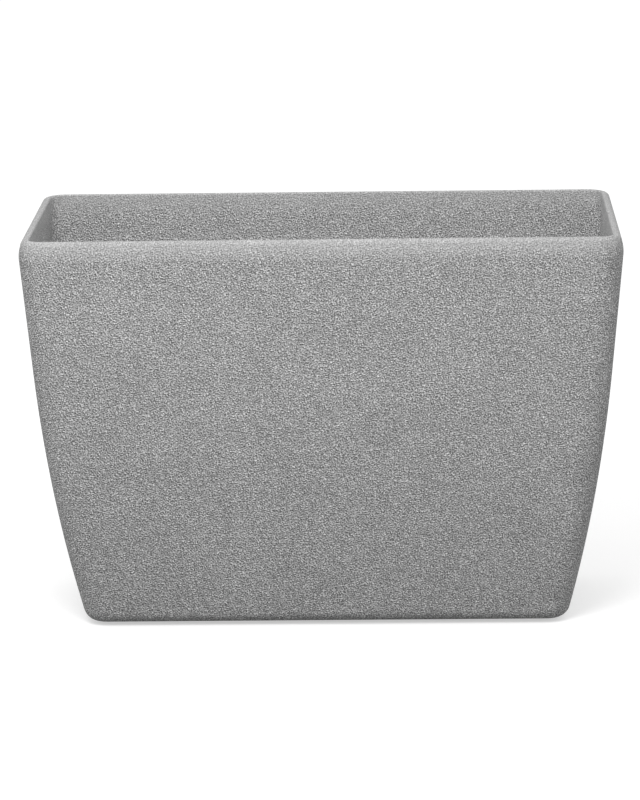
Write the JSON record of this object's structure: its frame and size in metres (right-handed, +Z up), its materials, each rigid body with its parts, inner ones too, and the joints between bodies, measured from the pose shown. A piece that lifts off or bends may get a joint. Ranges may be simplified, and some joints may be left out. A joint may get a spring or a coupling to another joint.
{
  "type": "trough planter",
  "caption": "Rectangular trough planter with curved tapered walls and a rolled rim, a lift-out slotted drainage plate and rubber drain bungs.",
  "frame": {"origin": "on the ground under the middle of the trough", "axes": "+X along the length, +Y from the front to the back wall, +Z up"},
  "size_m": [0.6, 0.3, 0.408],
  "materials": {
    "stone_resin": "mid-grey, fine stucco grain, matt",
    "plate_plastic": "charcoal, fine matt grain",
    "bung_rubber": "black moulded rubber"
  },
  "bodies": {
    "trough": {"planter_shell": "stone_resin"},
    "plate": {"drainage_plate": "plate_plastic"},
    "bung_left": {"drain_plug_left": "bung_rubber"},
    "bung_right": {"drain_plug_right": "bung_rubber"}
  },
  "joints": [
    {"name": "plate_lift", "type": "slide", "parent": "trough", "child": "plate", "axis": [0, 0, 1], "range_m": [0, 0.42]},
    {"name": "bung_left_pull", "type": "slide", "parent": "trough", "child": "bung_left", "axis": [0, 0, -1], "range_m": [0, 0.03]},
    {"name": "bung_right_pull", "type": "slide", "parent": "trough", "child": "bung_right", "axis": [0, 0, -1], "range_m": [0, 0.03]}
  ]
}
